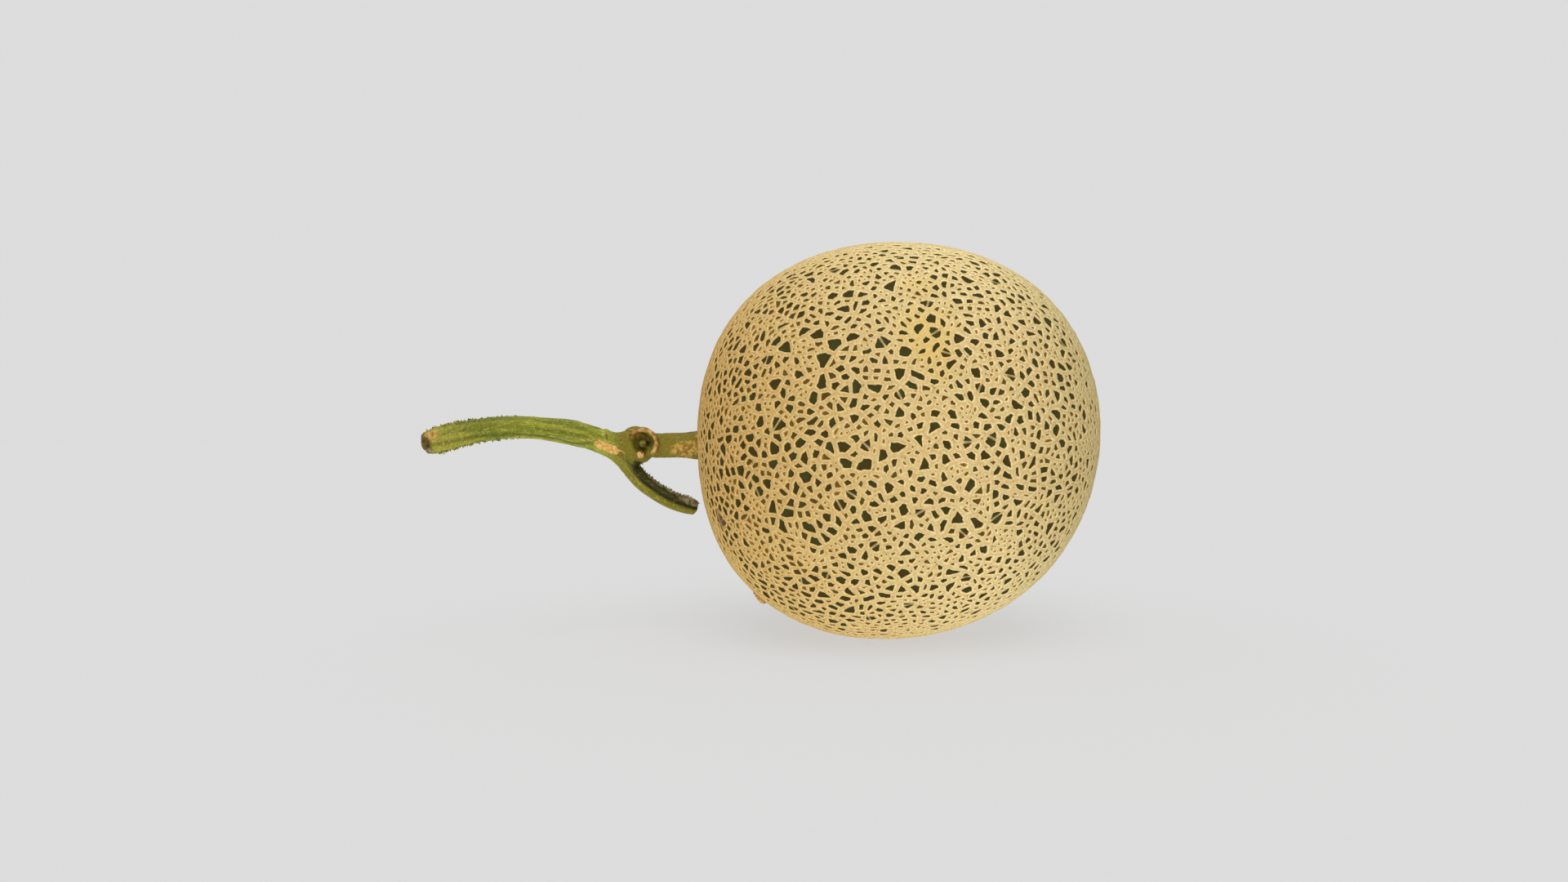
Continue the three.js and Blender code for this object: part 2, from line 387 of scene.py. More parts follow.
def lay_cell(rind, face, half_width, bars, crest):
    """Lays a cell inside its crests: a rim, a wall and the pit's floor. A small pit has no wall, as its rim
    slopes right down to its middle."""
    loops = list(face.loops)
    centre = face.calc_center_median()
    ways = [(loop.link_loop_next.vert.co - loop.vert.co).normalized() for loop in loops]
    gaps = [edge_gap(loop, centre) for loop in loops]
    room = min(gaps)
    width = (room + sum(gaps) / len(gaps)) / 2
    if not bars.isdisjoint(face.edges):
        room *= BAR_PIT_ROOM
        width *= BAR_PIT_ROOM
    scar = centre.angle(blossom_end) * FRUIT_RADIUS < BLOSSOM_SCAR
    small = scar or room < SMALL_PIT
    depth = BLOSSOM_SCAR_DEPTH if scar else min(PIT_DEPTH, SHALLOW_PIT + PIT_DEEPENING * room)
    crests = [crest[loop.vert] for loop in loops]
    rim = []
    sides = []
    foot = []
    for index, loop in enumerate(loops):
        before = loops[index - 1]
        here = loop.edge[half_width] / gaps[index]
        there = before.edge[half_width] / gaps[index - 1]
        height, old_height = [BAR_RIM if edge in bars else RIM_HEIGHT for edge in (loop.edge, before.edge)]
        on_bar = loop.edge in bars and before.edge in bars
        bend = 1 - max(ways[index].dot(ways[index - 1]), 0)
        share = min((here + there) / 2, WIDEST_SHARE)
        if not small:
            share *= 1 - (1 - CORNER_REACH) * bend
        corner = loop.vert.co.lerp(centre, share)
        rim.append(rind.lay(corner, (height + old_height) / 2, RIM, width, on_bar))
        sides.append(None)
        if small:
            continue
        inset = min(share + WALL_WIDTH / gaps[index], WALL_FOOT_REACH)
        foot.append(rind.lay(loop.vert.co.lerp(centre, inset), -depth, 0.0, width))
        if loop.edge.calc_length() * FRUIT_RADIUS > BOWED_SIDE:
            middle = (loop.vert.co + loop.link_loop_next.vert.co) / 2
            share = min(here + luck.gauss(0, SIDE_BULGE) / gaps[index], WIDEST_SHARE)
            sides[-1] = rind.lay(middle.lerp(centre, share), height, RIM, width, loop.edge in bars)
    for index, side in enumerate(sides):
        after = (index + 1) % len(sides)
        rind.fan([rim[index], crests[index], crests[after], rim[after]], side)
        if not small:
            rind.fan([rim[after], foot[after], foot[index], rim[index]], side)
    if small:
        rind.fan(rim + rim[:1], rind.lay(centre, -depth, RIM if scar else 0.0, width))
    else:
        rind.fan(foot)


def net_mesh():
    """The rind's mesh: the crests of the net, and the cells between them."""
    cells, half_width = cracked_cells()
    bars = {edge for edge in cells.edges if edge[half_width] < WIDEST_BAR}
    for edge in cells.edges:
        side = edge.verts[0].co.x
        thinning = max(-STALK_SIDE_THINNING * side, BLOSSOM_SIDE_THINNING * side)
        edge[half_width] *= math.exp(luck.gauss(0, WIDTH_SPREAD)) * (1 - thinning)
    rind = Rind()
    crest = lay_crests(rind, cells, half_width, bars)
    for face in cells.faces:
        lay_cell(rind, face, half_width, bars, crest)
    cells.free()
    return rind.mesh()


rind = bpy.data.objects.new("rind", net_mesh())
bpy.context.collection.objects.link(rind)


def seen(red, green, blue):
    """A colour as it is seen on a screen, from 0 to 255, as a shader wants it."""
    linear = [((value / 255 + 0.055) / 1.055) ** 2.4 for value in (red, green, blue)]
    return (*linear, 1)


def feed(tree, socket, value):
    """Gives a socket its value, which is either another node's output or a plain value."""
    if isinstance(value, bpy.types.NodeSocket):
        tree.links.new(value, socket)
    else:
        socket.default_value = value


def mixed(tree, share, first, second, blend="MIX"):
    """The mix of two colours, by a share from 0 to 1."""
    mix = tree.nodes.new("ShaderNodeMix")
    mix.data_type = "RGBA"
    mix.blend_type = blend
    for index, value in ((0, share), (6, first), (7, second)):
        feed(tree, mix.inputs[index], value)
    return mix.outputs[2]


def maths(tree, operation, first, second=0.0):
    """The outcome of a sum on two numbers."""
    step = tree.nodes.new("ShaderNodeMath")
    step.operation = operation
    feed(tree, step.inputs[0], first)
    feed(tree, step.inputs[1], second)
    return step.outputs[0]


def vector_maths(tree, operation, first, second=(0, 0, 0), output="Vector"):
    """The outcome of a sum on two vectors."""
    step = tree.nodes.new("ShaderNodeVectorMath")
    step.operation = operation
    feed(tree, step.inputs[0], first)
    feed(tree, step.inputs[1], second)
    return step.outputs[output]


def eased(tree, value, low, high, start=0.0, end=1.0):
    """A value that goes softly from start to end, as the given one goes from low to high."""
    ease = tree.nodes.new("ShaderNodeMapRange")
    ease.interpolation_type = "SMOOTHSTEP"
    feed(tree, ease.inputs["Value"], value)
    for name, number in (("From Min", low), ("From Max", high), ("To Min", start), ("To Max", end)):
        feed(tree, ease.inputs[name], number)
    return ease.outputs["Result"]


def cloudy(tree, place, size, detail=2.0, roughness=0.5):
    """An uneven value between 0 and 1, with blots of about the given size."""
    cloud = tree.nodes.new("ShaderNodeTexNoise")
    feed(tree, cloud.inputs["Vector"], place)
    cloud.inputs["Scale"].default_value = 1 / size
    cloud.inputs["Detail"].default_value = detail
    cloud.inputs["Roughness"].default_value = roughness
    return cloud.outputs["Fac"]


def kept(tree, name, output="Fac"):
    """A value that the mesh keeps at each of its points."""
    attribute = tree.nodes.new("ShaderNodeAttribute")
    attribute.attribute_name = name
    return attribute.outputs[output]


def material_with_shader(name, roughness, specular):
    """A new material. Gives it with its node tree and its shader."""
    material = bpy.data.materials.new(name)
    material.use_nodes = True
    shader = material.node_tree.nodes["Principled BSDF"]
    shader.inputs["Roughness"].default_value = roughness
    shader.inputs["Specular IOR Level"].default_value = specular
    return material, material.node_tree, shader


def bumped(tree, shader, height, distance, strength=1.0):
    """Lets a height show as fine relief."""
    bump = tree.nodes.new("ShaderNodeBump")
    bump.inputs["Distance"].default_value = distance
    bump.inputs["Strength"].default_value = strength
    tree.links.new(height, bump.inputs["Height"])
    tree.links.new(bump.outputs["Normal"], shader.inputs["Normal"])


def new_group(name, inputs, outputs):
    """An effect for several materials, with the given inputs and outputs. Gives it and its two end nodes."""
    group = bpy.data.node_groups.new(name, "ShaderNodeTree")
    for socket, kind in inputs.items():
        group.interface.new_socket(socket, in_out="INPUT", socket_type=kind)
    for socket, kind in outputs.items():
        group.interface.new_socket(socket, in_out="OUTPUT", socket_type=kind)
    return group, group.nodes.new("NodeGroupInput"), group.nodes.new("NodeGroupOutput")


def effect(tree, group, **values):
    """Places an effect in a material and feeds its inputs. Gives its outputs."""
    placed = tree.nodes.new("ShaderNodeGroup")
    placed.node_tree = group
    for name, value in values.items():
        feed(tree, placed.inputs[name], value)
    return placed.outputs


# A patch effect: 1 within an uneven patch of the given size round its middle, 0 outside it.
PATCH_EDGE_SIZE = 2.2 * MM
patch_inputs = {
    "Place": "NodeSocketVector",
    "Middle": "NodeSocketVector",
    "Size": "NodeSocketVector",
    "Turn": "NodeSocketFloat",
    "Softness": "NodeSocketFloat",
    "Raggedness": "NodeSocketFloat",
}
patch_group, given, result = new_group("patch", patch_inputs, {"Mask": "NodeSocketFloat"})
turned = patch_group.nodes.new("ShaderNodeVectorRotate")
turned.rotation_type = "Y_AXIS"
patch_group.links.new(given.outputs["Place"], turned.inputs["Vector"])
patch_group.links.new(given.outputs["Middle"], turned.inputs["Center"])
patch_group.links.new(given.outputs["Turn"], turned.inputs["Angle"])
offset = vector_maths(patch_group, "SUBTRACT", turned.outputs["Vector"], given.outputs["Middle"])
shares = vector_maths(patch_group, "DIVIDE", offset, given.outputs["Size"])
reach = vector_maths(patch_group, "LENGTH", shares, output="Value")
ragged = cloudy(patch_group, given.outputs["Place"], PATCH_EDGE_SIZE, 3.0)
ragged = maths(patch_group, "SUBTRACT", ragged, 0.5)
ragged = maths(patch_group, "MULTIPLY", ragged, given.outputs["Raggedness"])
reach = maths(patch_group, "ADD", reach, ragged)
inner = maths(patch_group, "SUBTRACT", 1.0, given.outputs["Softness"])
outer = maths(patch_group, "ADD", 1.0, given.outputs["Softness"])
patch_group.links.new(eased(patch_group, reach, inner, outer, 1.0, 0.0), result.inputs["Mask"])

# A cork effect: fine specks and mottling, as a shade to multiply a colour by, and as a height.
SPECK_SIZE = 0.9 * MM
SPECK_SHADE = (0.62, 0.52, 0.38, 1)
BLOT_SIZE = 1.5 * MM
WHITE = (1, 1, 1, 1)
cork_group, given, result = new_group(
    "cork_grain", {"Place": "NodeSocketVector", "Depth": "NodeSocketFloat"},
    {"Shade": "NodeSocketColor", "Blots": "NodeSocketFloat", "Height": "NodeSocketFloat"})
specks = cloudy(cork_group, given.outputs["Place"], SPECK_SIZE, 4.0, 0.75)
blots = cloudy(cork_group, given.outputs["Place"], BLOT_SIZE, 3.0, 0.6)
dark_specks = eased(cork_group, specks, 0.60, 0.40)
dark_specks = maths(cork_group, "MULTIPLY", dark_specks, given.outputs["Depth"])
shade = mixed(cork_group, dark_specks, WHITE, SPECK_SHADE)
cork_group.links.new(shade, result.inputs["Shade"])
cork_group.links.new(blots, result.inputs["Blots"])
height = maths(cork_group, "ADD", maths(cork_group, "MULTIPLY", specks, 0.6), blots)
cork_group.links.new(height, result.inputs["Height"])

# The widest ridges' crests are painted paler, as a painted highlight.
MAIN_CREST_HIGHLIGHT = seen(223, 199, 140)
CREST_TAN = seen(215, 187, 128)
CREST_ORANGE = seen(210, 171, 104)
# The pits' rims are pale cork, painted paler still as a highlight on the ridges' edges.
RIM_CREAM_HIGHLIGHT = seen(233, 214, 163)
BAR_GREY = seen(164, 150, 110)
PINHOLE_BROWN = seen(150, 112, 56)
# The pits' walls are brown cork, darkened as painted shade round the pits.
WALL_BROWN_SHADE = seen(152, 108, 42)
SMALL_PIT_BROWN = seen(134, 102, 36)
WIDE_PIT_DARK = seen(62, 53, 17)
WIDE_PIT_GREEN = seen(60, 60, 26)
# Each side's direction, how far the cork must face that way for its tint to begin and be full, and the tint.
SIDE_TINTS_AND_PAINTED_LIGHT = (
    # The stalk end is browner, and the blossom end greyer, and both ends are also darkened as painted shade.
    ((-1, 0.2, -0.2), (-0.5, 0.9), (0.81, 0.69, 0.48, 1)),
    ((1, 0.1, 0), (0.22, 0.95), (0.70, 0.75, 0.73, 1)),
    # The cork is a little darker in front, as painted shade, and paler and less yellow above and below, as
    # painted light.
    ((0, -1, 0), (0.6, 1.0), (0.95, 0.97, 0.97, 1)),
    ((0, 0, 1), (0.2, 0.9), (1.06, 1.14, 1.22, 1)),
    ((0, 0, -1), (0.1, 0.8), (1.13, 1.21, 1.28, 1)),
)
STAIN_YELLOW = seen(214, 180, 92)
# Each stain's middle and size in millimetres, and its strength.
STAINS = (
    ((4.3, -64.4, 33.3), (8.0, 14, 9.5), 0.42),
    ((4.4, -53.7, 48.6), (6.0, 12, 4.5), 0.26),
    ((7.5, -67.5, 24.0), (5.0, 12, 6.0), 0.25),
)
BRUISE_BROWN = seen(112, 82, 56)
BRUISE_MIDDLE = FRUIT_MIDDLE + Vector((-60.3, -30.9, -26.0)) * MM
BRUISE_SIZE = Vector((2.2, 3.0, 4.5)) * MM
BRUISE_STRENGTH = 0.75
PINHOLE_SPACING = 3.3 * MM
PINHOLE_STRENGTH = 0.8
SKIN_BLOT_SIZE = 5 * MM
SCAR_TAN = seen(196, 172, 118)
SCAR_BROWN = seen(134, 106, 62)
SCAR_WAVE = 18
# How far up the net each colour gives way to the next, from a pit's floor at 0 to the crests at 1.
FLOOR_TO_WALL = (0.08, 0.34)
WALL_TO_RIM = (0.34, 0.5)
RIM_TO_CREST = (0.6, 0.84)
CREST_TO_MAIN_CREST = (0.9, 1.0)
# The widths between which the pits' floors turn from brown to green.
BROWN_TO_GREEN = (0.8 * MM, 1.75 * MM)

cork, tree, shader = material_with_shader("cork_net_on_green_skin", 0.85, 0.1)
place = tree.nodes.new("ShaderNodeTexCoord").outputs["Object"]
from_middle = vector_maths(tree, "SUBTRACT", place, FRUIT_MIDDLE)
facing = vector_maths(tree, "NORMALIZE", from_middle)
net = kept(tree, "net")
grain = effect(tree, cork_group, Place=place, Depth=0.45)
# A painted highlight along the crests of the widest ridges.
crest = mixed(tree, eased(tree, net, *CREST_TO_MAIN_CREST), CREST_TAN, MAIN_CREST_HIGHLIGHT)
crest = mixed(tree, eased(tree, grain["Blots"], 0.47, 0.72), crest, CREST_ORANGE)
# Pale cork rims, with a painted highlight, give way to the crests.
ridge = mixed(tree, eased(tree, net, *RIM_TO_CREST), RIM_CREAM_HIGHLIGHT, crest)
ridge = mixed(tree, 1.0, ridge, grain["Shade"], "MULTIPLY")


def side_share(direction, low, high):
    """How far a place on the fruit faces the given way."""
    facing_it = vector_maths(tree, "DOT_PRODUCT", facing, Vector(direction).normalized(), "Value")
    return eased(tree, facing_it, low, high)


# The side tints, which also paint shade at the ends and in front, and light above and below.
for direction, reach, tint in SIDE_TINTS_AND_PAINTED_LIGHT:
    ridge = mixed(tree, side_share(direction, *reach), ridge, mixed(tree, 1.0, ridge, tint, "MULTIPLY"))
for middle, size, strength in STAINS:
    stain = effect(tree, patch_group, Place=place, Middle=FRUIT_MIDDLE + Vector(middle) * MM,
                   Size=Vector(size) * MM, Softness=0.5, Raggedness=1.2)["Mask"]
    ridge = mixed(tree, maths(tree, "MULTIPLY", stain, strength), ridge, STAIN_YELLOW)

widths = kept(tree, "pit_width")
skin_blots = eased(tree, cloudy(tree, place, SKIN_BLOT_SIZE), 0.45, 0.62)
green = mixed(tree, skin_blots, WIDE_PIT_DARK, WIDE_PIT_GREEN)
floor_colour = mixed(tree, eased(tree, widths, *BROWN_TO_GREEN), SMALL_PIT_BROWN, green)
# The walls between floor and rim: brown cork with painted shade.
pit = mixed(tree, eased(tree, net, *FLOOR_TO_WALL), floor_colour, WALL_BROWN_SHADE)
colour = mixed(tree, eased(tree, net, *WALL_TO_RIM), pit, ridge)
bar_grey = mixed(tree, 1.0, BAR_GREY, grain["Shade"], "MULTIPLY")
colour = mixed(tree, eased(tree, kept(tree, "bar"), 0.5, 0.9), colour, bar_grey)
holes = tree.nodes.new("ShaderNodeTexVoronoi")
holes.inputs["Scale"].default_value = 1 / PINHOLE_SPACING
tree.links.new(place, holes.inputs["Vector"])
pinhole = eased(tree, holes.outputs["Distance"], 0.16, 0.08)
pinhole = maths(tree, "MULTIPLY", pinhole, eased(tree, net, 0.5, 0.7))
colour = mixed(tree, maths(tree, "MULTIPLY", pinhole, PINHOLE_STRENGTH), colour, PINHOLE_BROWN)
bruise = effect(tree, patch_group, Place=place, Middle=BRUISE_MIDDLE, Size=BRUISE_SIZE,
                Softness=0.45, Raggedness=1.6)["Mask"]
colour = mixed(tree, maths(tree, "MULTIPLY", bruise, BRUISE_STRENGTH), colour, BRUISE_BROWN)
from_scar = vector_maths(tree, "DISTANCE", facing, blossom_end, "Value")
scar_edge = BLOSSOM_SCAR / FRUIT_RADIUS
waves = maths(tree, "SINE", maths(tree, "MULTIPLY", from_scar, SCAR_WAVE / scar_edge))
rings = mixed(tree, eased(tree, waves, 0.2, 0.9), SCAR_TAN, SCAR_BROWN)
rings = mixed(tree, eased(tree, from_scar, scar_edge * 0.4, scar_edge * 0.2), rings, SCAR_BROWN)
rings = mixed(tree, 1.0, rings, grain["Shade"], "MULTIPLY")
colour = mixed(tree, eased(tree, from_scar, scar_edge * 1.1, scar_edge * 0.8), colour, rings)
tree.links.new(colour, shader.inputs["Base Color"])
bumped(tree, shader, grain["Height"], 0.10 * MM, 0.6)
rind.data.materials.append(cork)
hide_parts("fruit")
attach(rind, "root")


# Cork flake. A scrap of the cork net that came loose at one end and curled outwards as it dried, to a golden
# brown. It still grows on the net, low on the stalk side, with its steep torn end towards the blossom end.
FLAKE_ANGLE = math.radians(229.7)
FLAKE_CLEARANCE = math.radians(3.6)
# Half its length and half its width, and how high it would stand without its slope.
FLAKE_SIZE = Vector((3.2, 2.6, 2.7)) * MM
FLAKE_FORWARD = 1.2 * MM
FLAKE_SLOPE = 0.55
FLAKE_CURL = 0.35
FLAKE_LUMP_HEIGHT = 0.4 * MM
FLAKE_LUMP_SIZE = 1.1 * MM
FLAKE_GOLD = seen(216, 176, 108)
FLAKE_BROWN = seen(160, 108, 44)


def skin_place(angle):
    """A place on the skin, by its angle from the blossom end in the upright plane through the fruit's ends."""
    direction = Vector((math.cos(angle), 0, math.sin(angle)))
    return FRUIT_MIDDLE + direction * skin_distance(direction)


# The solid has a flake there too, so the skin's height is taken from just before and just after it.
skin_before = skin_place(FLAKE_ANGLE - FLAKE_CLEARANCE)
skin_after = skin_place(FLAKE_ANGLE + FLAKE_CLEARANCE)
flake_place = (skin_before + skin_after) / 2
flake_place.y -= FLAKE_FORWARD
bpy.ops.object.select_all(action="DESELECT")
bpy.ops.mesh.primitive_ico_sphere_add(subdivisions=5, radius=1, location=flake_place,
                                      rotation=(0, math.pi / 2 - FLAKE_ANGLE, 0))
flake = bpy.context.object
flake.name = "cork_flake"
for vertex in flake.data.vertices:
    along, across, up = vertex.co
    up *= 1 - FLAKE_SLOPE * (along + 1) / 2
    place = Vector((along - FLAKE_CURL * max(up, 0), across, up)) * FLAKE_SIZE
    vertex.co = place + vertex.co * noise.noise(place / FLAKE_LUMP_SIZE) * FLAKE_LUMP_HEIGHT
bpy.ops.object.transform_apply(location=True, rotation=True, scale=True)
bpy.ops.object.shade_smooth()

dry_cork, tree, shader = material_with_shader("dry_golden_cork", 0.85, 0.1)
place = tree.nodes.new("ShaderNodeTexCoord").outputs["Object"]
grain = effect(tree, cork_group, Place=place, Depth=0.6)
flake_colour = mixed(tree, eased(tree, grain["Blots"], 0.45, 0.62), FLAKE_GOLD, FLAKE_BROWN)
flake_colour = mixed(tree, 1.0, flake_colour, grain["Shade"], "MULTIPLY")
tree.links.new(flake_colour, shader.inputs["Base Color"])
bumped(tree, shader, grain["Height"], 0.12 * MM, 0.7)
flake.data.materials.append(dry_cork)
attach(flake, "root")


# Stalk and vine. The fruit hangs on its own short stalk. That grew from a knuckle on the vine, which also
# bears the broken rim of a leaf stalk, two stubs of side shoots, and the two cut arms of the vine. It is all
# one ribbed green stem, with tan scars where it was rubbed.
VINE_ROUTE = (
    (-156.9, -40.6, -1.1), (-147.2, -30.0, 2.2), (-136.2, -21.0, 4.1), (-124.4, -13.0, 3.8),
    (-111.7, -6.0, 1.3), (-100.9, -1.0, -4.8), (-91.8, 3.0, -15.6), (-82.6, 9.0, -22.4),
    (-73.6, 15.0, -26.0),
)
ROUTE_SAMPLES = 40
LONG_ARM_RADIUS = 3.92 * MM
SHORT_ARM_RADIUS = 3.2 * MM
KNUCKLE_SHARE = 0.52
ARM_SWELL = 0.9 * MM
ARM_SWELL_SPREAD = 0.09
CUT_END_FLARE = 0.35 * MM
CUT_END_PLACE = 0.07
CUT_END_ROUNDING = 0.13
CUT_END_ROUNDING_SPREAD = 0.018
KNUCKLE = FRUIT_MIDDLE + Vector((-93.6, 0, -2.2)) * MM
KNUCKLE_REACH = (9.5 * MM, 14 * MM)
STALK_END = FRUIT_MIDDLE + Vector((-68, 0, -2.1)) * MM
STALK_RADIUS = 4.55 * MM
STALK_SINK = 1.6 * MM
STALK_SINK_START = 1.0 * MM
STALK_SINK_EASE = 0.6 * MM
RIB_HEIGHT = 0.10 * MM
# Each groove's angle round the vine, its depth in millimetres and its spread in degrees.
GROOVES = (
    (-8, 0.46, 10), (34, 0.34, 14), (82, 0.30, 13), (130, 0.30, 15),
    (182, 0.35, 14), (234, 0.30, 15), (292, 0.38, 12),
)
DEEP_GROOVE = 0.5
GROOVE_TWIST = 1.0 / MM
TWIST_LENGTH = 53 * MM
GROOVE_CHANGE = (TWIST_LENGTH, TWIST_LENGTH * 1.25)
GROOVE_TURN = 53
GROOVE_FADE = 0.85
GROOVE_WIDENING = 0.7
# The grooves come in as the skin faces more aside of the vine's line, and fade as it lies further off the
# plain round arm, between the two values of each.
GROOVED_FACING = (0.3, 0.6)
GROOVED_OFFSET = (0.5 * MM, 1.2 * MM)
END_GROWTH = 0.85 * MM
END_GROWTH_REACH = 3 * MM
CUT_REACH = 2.5 * MM
CUT_FACING = (0.35, 0.7)
# Each swelling or dent by the knuckle: its middle, its reach and its height, in millimetres.
SWELLINGS = (
    ((-105.4, -4.0, 4.4), 2.6, 0.9),
    ((-100.9, -2.0, 3.6), 2.7, -1.1),
    ((-96.8, -2.0, 4.6), 2.4, 0.45),
)
WART_HEIGHT = 1.0 * MM
WART_SIZE = 1.1 * MM
WART_START = (0, 2 * MM)
WART_END = (16 * MM, 34 * MM)
WART_LEVEL = 0.05
LUMP_HEIGHT = 0.28 * MM
LUMP_SIZE = 2.6 * MM
KNUCKLE_LUMPS = 1.3
GRAIN_HEIGHT = 0.10 * MM
GRAIN_SIZE = 0.8 * MM
GRAIN_STRETCH = 0.12
RIM_MIDDLE = FRUIT_MIDDLE + Vector((-90.8, -5.6, -1.5)) * MM
RIM_RADIUS = 5.0 * MM
RIM_WIDTH = 3.3 * MM
RIM_SWAY = 0.4 * MM
RIM_SWAY_SIZE = 1.1 * MM
RIM_FRONT = (0.2 * MM, 0.9 * MM)
RIM_START = (-58, -48)
RIM_END = (140, 158)
RIM_WORN = (80, 125)
RIM_WEAR = 0.75
RIM_CRUMBLE = 0.22 * MM
RIM_CRUMB_SIZE = 0.7 * MM
HOLLOW_DEPTH = 1.5 * MM
HOLLOW_FRONT = (-1.5 * MM, 0)
HOLLOW_EDGE = (2.2 * MM, 4.3 * MM)
# How far the hollow's painted shade reaches, from full to none.
CAVITY_SHADE_EDGE = (2.4 * MM, 4.8 * MM)
# Each stub's middle and radius in millimetres, seen from the front.
STUBS = (((-90.6, -1.5), 1.4), ((-91.0, -5.3), 1.6))
STUB_EDGE = (0.1 * MM, 0.6 * MM)
# The short arm's dark upper face and light lower face, by the share of the vine's length and by the angle.
SHORT_ARM_START = (0.63, 0.74)
UPPER_FACE_START = (-32, -12)
UPPER_FACE_END = (130, 170)
# The stalk and the vine near it are riper and more olive than the long arm.
RIPE_REACH = (4 * MM, 12 * MM)
RIPE_START = 0.3
MERGE_DISTANCE = 0.01 * MM
STEM_VOXEL = 0.3 * MM
SMOOTHING = 0.5
SMOOTHING_ROUNDS = 6


def soft_share(value, low, high):
    """How far a value has come from low to high, from 0 to 1, softly."""
    share = min(max((value - low) / (high - low), 0), 1)
    return share * share * (3 - 2 * share)


def bell(value, spread):
    """How near a value is to 0, from 1 there down to 0 well past the spread, softly."""
    return math.exp(-(value / spread) ** 2)


def smooth_route(points, samples):
    """Places on the curve that runs evenly through the given points."""
    ends = [2 * points[0] - points[1], *points, 2 * points[-1] - points[-2]]
    places = []
    for before, start, end, after in zip(ends, ends[1:], ends[2:], ends[3:]):
        first = (start - before).length ** 0.5
        second = first + (end - start).length ** 0.5
        third = second + (after - end).length ** 0.5
        for sample in range(samples):
            share = sample / samples
            now = first + (second - first) * share
            middle = start.lerp(end, share)
            lead = before.lerp(start, now / first).lerp(middle, now / second)
            past_end = end.lerp(after, (now - second) / (third - second))
            follow = middle.lerp(past_end, (now - first) / (third - first))
            places.append(lead.lerp(follow, share))
    return [*places, points[-1]]


class Route:
    """A line that a stem follows. It tells how far along, aside of and above the stem a place lies."""

    def __init__(self, places):
        self.places = places
        self.along = [0.0]
        for start, end in zip(places, places[1:]):
            self.along.append(self.along[-1] + (end - start).length)
        self.finder = kdtree.KDTree(len(places))
        for index, place in enumerate(places):
            self.finder.insert(place, index)
        self.finder.balance()

    def locate(self, place):
        """How far along, aside of and above the line a place is, and the three ways that this is measured."""
        _, index, _ = self.finder.find(place)
        last = len(self.places) - 1
        ahead = (self.places[min(index + 1, last)] - self.places[max(index - 1, 0)]).normalized()
        aside = ahead.cross(Vector((0, 0, 1))).normalized()
        above = aside.cross(ahead)
        offset = place - self.places[index]
        step = offset.dot(ahead)
        return self.along[index] + step, offset.dot(aside), offset.dot(above), ahead, aside, above


def arm_radius(share):
    """The radius of the vine's arms without their ribs, by the share of its length."""
    past = soft_share(share, KNUCKLE_SHARE - ARM_SWELL_SPREAD, KNUCKLE_SHARE + ARM_SWELL_SPREAD)
    arm = LONG_ARM_RADIUS + (SHORT_ARM_RADIUS - LONG_ARM_RADIUS) * past
    swell = ARM_SWELL * bell(share - KNUCKLE_SHARE, ARM_SWELL_SPREAD)
    flare = CUT_END_FLARE * bell(share - CUT_END_PLACE, CUT_END_PLACE)
    rounding = CUT_END_ROUNDING * bell(min(share, 1 - share), CUT_END_ROUNDING_SPREAD)
    return (arm + swell + flare) * (1 - rounding)


def groove_depth(angle, along):
    """How deep the lengthwise grooves are at an angle round the vine, and how far inside one that is, from 0
    to 1. Past the knuckle, only the first groove stays deep."""
    turned = angle + GROOVE_TWIST * min(along, TWIST_LENGTH)
    past = soft_share(along, *GROOVE_CHANGE)
    turned -= GROOVE_TURN * past
    fade = 1
    depth = 0
    inside = 0
    for middle, deepest, width in GROOVES:
        gap = (turned - middle + 180) % 360 - 180
        width *= 1 + GROOVE_WIDENING * past
        depth += deepest * MM * bell(gap, width) * fade
        inside = max(inside, bell(gap, width) * deepest / DEEP_GROOVE * fade)
        fade = 1 - GROOVE_FADE * past
    return depth, inside


def rim_and_hollow(place):
    """How much a place is on the leaf stalk's broken rim, in the painted shade of its hollow, on the hollow's
    sunken floor, and where the skin crumbles, on the rim and on the stubs. Each runs from 0 to 1."""
    from_rim = place - RIM_MIDDLE
    reach = math.hypot(from_rim.x, from_rim.z)
    angle = math.degrees(math.atan2(from_rim.z, from_rim.x))
    outer = soft_share(-from_rim.y, *RIM_FRONT)
    worn = soft_share(angle, *RIM_WORN)
    on_arc = soft_share(angle, *RIM_START) * (1 - soft_share(angle, *RIM_END))
    sway = noise.noise(place / RIM_SWAY_SIZE) * RIM_SWAY
    band = max(0, 1 - abs(reach + sway - RIM_RADIUS) / (RIM_WIDTH / 2)) * outer * on_arc
    in_front = soft_share(-from_rim.y, *HOLLOW_FRONT)
    from_stubs = []
    for (x, z), size in STUBS:
        from_stub = math.hypot(place.x - x * MM, place.z - FRUIT_MIDDLE.z - z * MM)
        from_stubs.append(from_stub - size * MM)
    beside_stubs = soft_share(min(from_stubs), *STUB_EDGE)
    cavity_shade = (1 - soft_share(reach, *CAVITY_SHADE_EDGE)) * in_front
    hollow_floor = (1 - soft_share(reach, *HOLLOW_EDGE)) * in_front * beside_stubs
    crumbly = max(band, (1 - beside_stubs) * in_front)
    return band * (1 - RIM_WEAR * worn), cavity_shade, hollow_floor, crumbly


vine_route = Route(smooth_route([FRUIT_MIDDLE + Vector(point) * MM for point in VINE_ROUTE], ROUTE_SAMPLES))
stalk_route = Route([KNUCKLE.lerp(STALK_END, step / ROUTE_SAMPLES) for step in range(ROUTE_SAMPLES + 1)])
vine_length = vine_route.along[-1]

